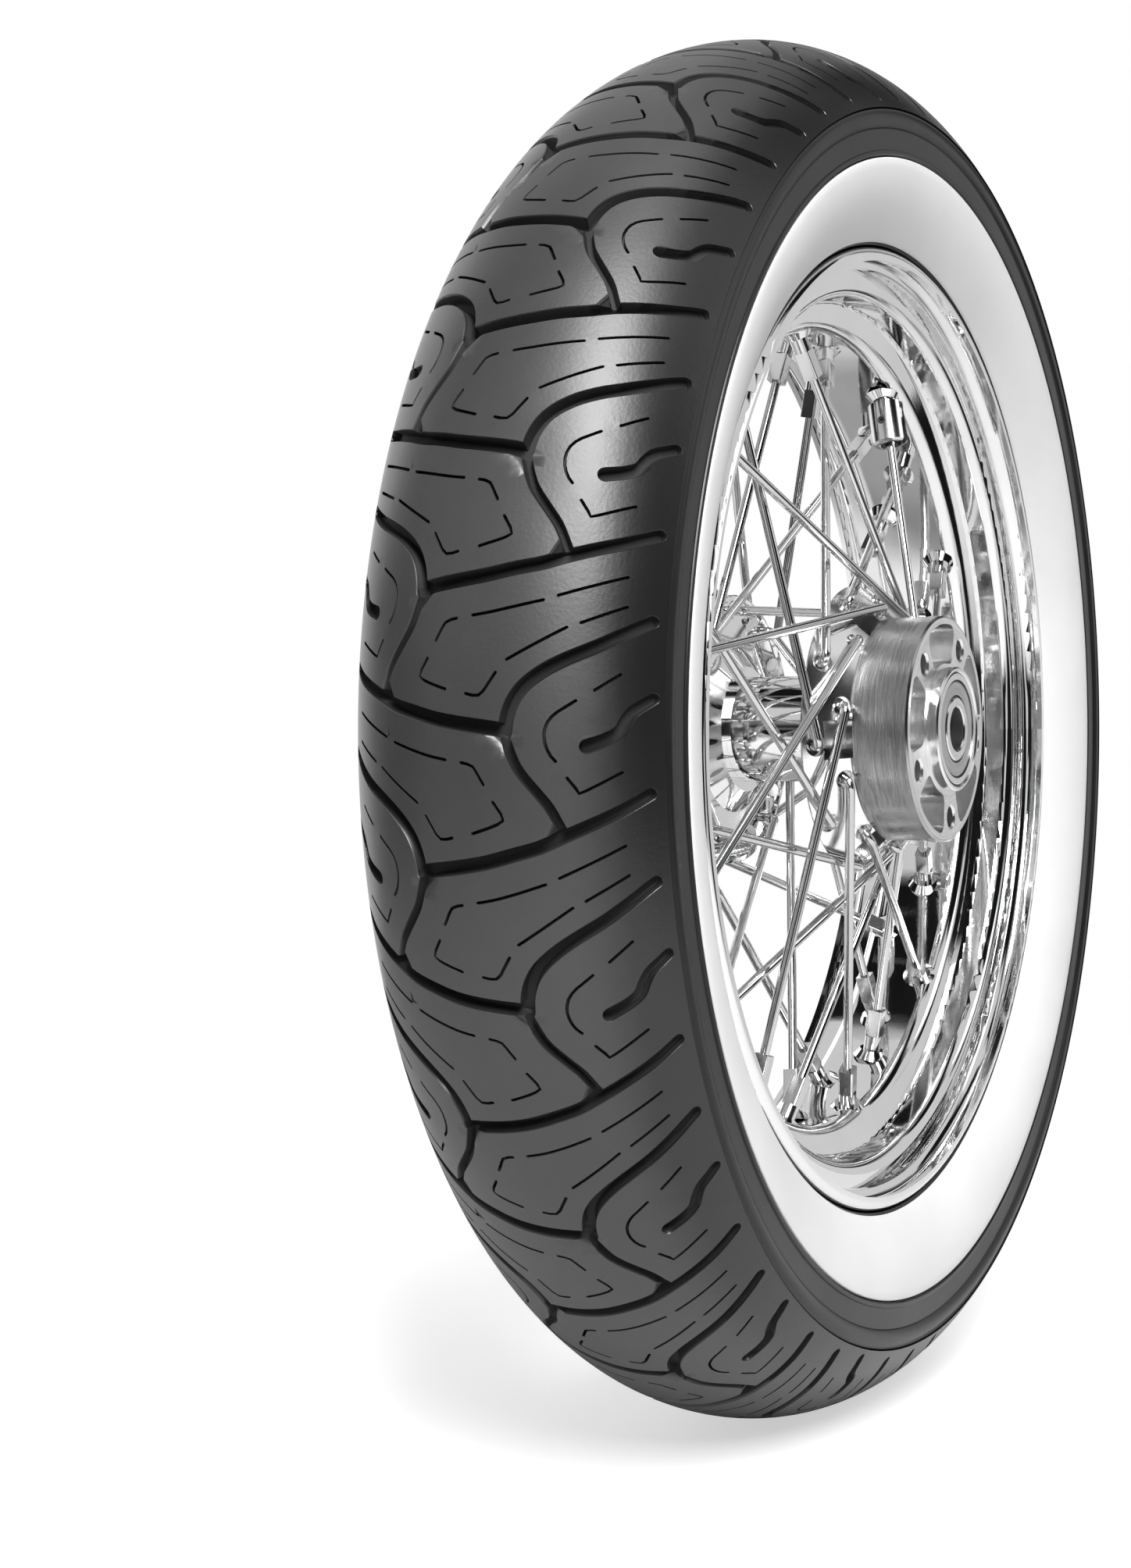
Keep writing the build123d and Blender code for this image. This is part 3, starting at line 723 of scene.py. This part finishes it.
# Closed sections as (radius, axial) points in millimetres. The black one goes from the shoulder over
# the rib, the whitewall's seat and the bead, and back along the inside.
BLACK_WALL = [
    (275.8, 58.0), (280.3, 64.4), (280.35, 65.3), (280.1, 65.6), (279.6, 65.35),
    *arc((275.5, 60.0), 6.6, 56.5, 122, 14),
    (271.6, 65.15), (268, 65.05), (262.6, 64.95), (262.3, 65.5), (261.4, 65.75), (260.6, 65.65),
    (260.3, 65.1), (259.9, 64.6), (259.6, 63.4), (244, 60.6), (229, 53.9), (224.3, 50.8),
    (223.4, 51.0), (222.3, 50.2), (221.9, 48.9), (221.8, 47.7), (219.6, 41.7), (216.5, 39.2),
    (212, 38.05), (206.3, 38.05), (203.6, 36.6), (202.7, 34.7), (202.1, 27.6), (211, 28.2),
    (213.4, 29.4), (219.8, 37.8), (226, 44.4), (236, 53.1), (248.8, 60.5), (258, 61.4), (268, 60.2),
]
WHITE_BAND = [
    (259.3, 63.6), (259.3, 65.0), (259.1, 65.35), (258.7, 65.5), (255, 65.2), (250, 64.5),
    (244, 62.9), (238, 60.6), (233, 58.1), (228.5, 55.5), (226, 53.9), (224.4, 52.8),
    (223.5, 52.0), (223.3, 51.4), (223.9, 50.9), (229.2, 54.2), (244, 60.9),
]


def make_sidewalls():
    for side, name in ((NEAR, "near"), (FAR, "far")):
        wall = lathe(f"shoulder_wall_{name}", BLACK_WALL, side, "wall", 30)
        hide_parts(f"sidewall_{name}")
        band = lathe(f"white_band_{name}", WHITE_BAND, side, "white", 50)
        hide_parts(f"whitewall_{name}")


# ---------------------------------------------------------------- stage

FLOOR_HALF = 4
FLOOR_GLOW = 0.56                       # lifts the floor's paper to white, for the camera only
FLOOR_FADE = (1.6, 0.7)                 # distances at which the floor is gone, and still full
TENT_LIGHT = 0.68

# Bright sheets and dark gaps in the tent, as (direction, cosine where it is full, cosine where it
# ends, amount). Amounts below zero are the gaps.
TENT = [
    ((-0.25, 0.43, 0.86), 0.95, 0.86, -0.5),
    ((-1.00, -0.05, 0.05), 0.95, 0.85, -0.5),
    ((-0.69, 0.43, 0.58), 0.96, 0.90, 0.5),
    ((-0.17, -0.90, 0.30), 0.95, 0.82, -0.6),
    ((0.88, -0.47, 0.03), 0.98, 0.94, 0.8),
    ((0.20, -0.75, 0.62), 0.93, 0.85, 0.4),
    ((0.50, 0.45, 0.75), 0.95, 0.88, 0.4),
    ((-0.10, -0.75, -0.65), 0.90, 0.75, 0.35),
]

CAMERA_PLACE = (-1.0827, -0.4532, 0)
CAMERA_HEADING = math.radians(61.9)     # from +Y towards +X
CAMERA_LENS = 56.45
CAMERA_SHIFT = -0.0351
SENSOR = 36


def make_floor():
    """White paper under the tyre that fades out before its edge."""
    floor = bpy.data.meshes.new("floor")
    size, z = FLOOR_HALF, -TYRE_R
    corners = [(-size, -size, z), (size, -size, z), (size, size, z), (-size, size, z)]
    floor.from_pydata(corners, [], [(0, 1, 2, 3)])
    obj = bpy.data.objects.new("floor", floor)
    bpy.context.scene.collection.objects.link(obj)
    mat, graph, inputs = new_material("floor_paper")
    inputs["Base Color"].default_value = (0.70, 0.70, 0.70, 1)
    inputs["Roughness"].default_value = 0.95
    inputs["Specular IOR Level"].default_value = 0.0
    inputs["Emission Color"].default_value = (1, 1, 1, 1)
    path = graph.nodes.new("ShaderNodeLightPath")
    glow = graph.maths("MULTIPLY", path.outputs["Is Camera Ray"], FLOOR_GLOW)
    graph.feed(inputs["Emission Strength"], glow)
    distance = graph.nodes.new("ShaderNodeVectorMath")
    distance.operation = "LENGTH"
    graph.feed(distance.inputs[0], graph.coordinate("Object"))
    fade = graph.map_range(distance.outputs["Value"], *FLOOR_FADE, smooth=True)
    graph.feed(inputs["Alpha"], fade)
    floor.materials.append(mat)


def make_world():
    """A light tent with folds and dark gaps for the plated metal to mirror, and a white background."""
    world = bpy.data.worlds.new("studio")
    bpy.context.scene.world = world
    world.use_nodes = True
    world.node_tree.nodes.clear()
    graph = Graph(world.node_tree)
    direction = graph.coordinate("Generated")
    cloud = graph.noise(2.2, 1.5, distortion=0.8, vector=direction)
    x, y, _ = graph.parts(direction)
    wander = graph.maths("MULTIPLY", cloud, 9.0)
    swing = graph.maths("MULTIPLY_ADD", graph.maths("ARCTAN2", y, x), 7.0, wander)
    folds = graph.maths("MULTIPLY_ADD", graph.maths("SINE", swing), 0.24, -0.37)
    total = graph.maths("MULTIPLY_ADD", cloud, 1.6, folds)
    for towards, full, end, amount in TENT:
        dot = graph.nodes.new("ShaderNodeVectorMath")
        dot.operation = "DOT_PRODUCT"
        dot.inputs[1].default_value = Vector(towards).normalized()
        graph.feed(dot.inputs[0], direction)
        sheet = graph.map_range(dot.outputs["Value"], end, full, top=amount, smooth=True)
        total = graph.maths("ADD", total, sheet)
    tent = graph.nodes.new("ShaderNodeBackground")
    tent.inputs["Strength"].default_value = TENT_LIGHT
    graph.feed(tent.inputs["Color"], graph.ramp(total, [(0.34, 0.012), (0.48, 0.22), (0.62, 1.0)]))
    backdrop = graph.nodes.new("ShaderNodeBackground")
    backdrop.inputs["Color"].default_value = (1, 1, 1, 1)
    path = graph.nodes.new("ShaderNodeLightPath")
    mix = graph.nodes.new("ShaderNodeMixShader")
    graph.feed(mix.inputs["Fac"], path.outputs["Is Camera Ray"])
    graph.feed(mix.inputs[1], tent.outputs[0])
    graph.feed(mix.inputs[2], backdrop.outputs[0])
    out = graph.nodes.new("ShaderNodeOutputWorld")
    graph.feed(out.inputs["Surface"], mix.outputs[0])


def make_camera():
    """Level camera at the height of the axle, looking at the tread and the five-hole hub face."""
    data = bpy.data.cameras.new("camera")
    camera = bpy.data.objects.new("camera", data)
    bpy.context.scene.collection.objects.link(camera)
    data.sensor_width = SENSOR
    data.lens = CAMERA_LENS
    data.shift_y = CAMERA_SHIFT
    data.clip_start = 0.01
    bpy.context.scene.view_settings.view_transform = "Standard"
    camera.location = CAMERA_PLACE
    forward = Vector((math.sin(CAMERA_HEADING), math.cos(CAMERA_HEADING), 0))
    camera.rotation_euler = forward.to_track_quat("-Z", "Y").to_euler()
    bpy.context.scene.camera = camera


def area_light(name, place, size, power):
    """A rectangular light aimed at the wheel's centre."""
    data = bpy.data.lights.new(name, "AREA")
    data.shape = "RECTANGLE"
    data.size, data.size_y = size
    data.energy = power
    obj = bpy.data.objects.new(name, data)
    bpy.context.scene.collection.objects.link(obj)
    obj.location = place
    obj.rotation_euler = (-Vector(place)).to_track_quat("-Z", "Y").to_euler()
    return obj


def make_lights():
    area_light("key", (-1.5, -1.0, 1.6), (0.75, 1.7), 112)
    area_light("side", (1.0, -2.2, 1.2), (1.0, 1.0), 4)
    area_light("far_fill", (1.5, 2.4, 0.6), (2.6, 2.6), 24).visible_camera = False


dress_cad_nodes()
make_tread()
make_sidewalls()
make_floor()
make_world()
make_camera()
make_lights()
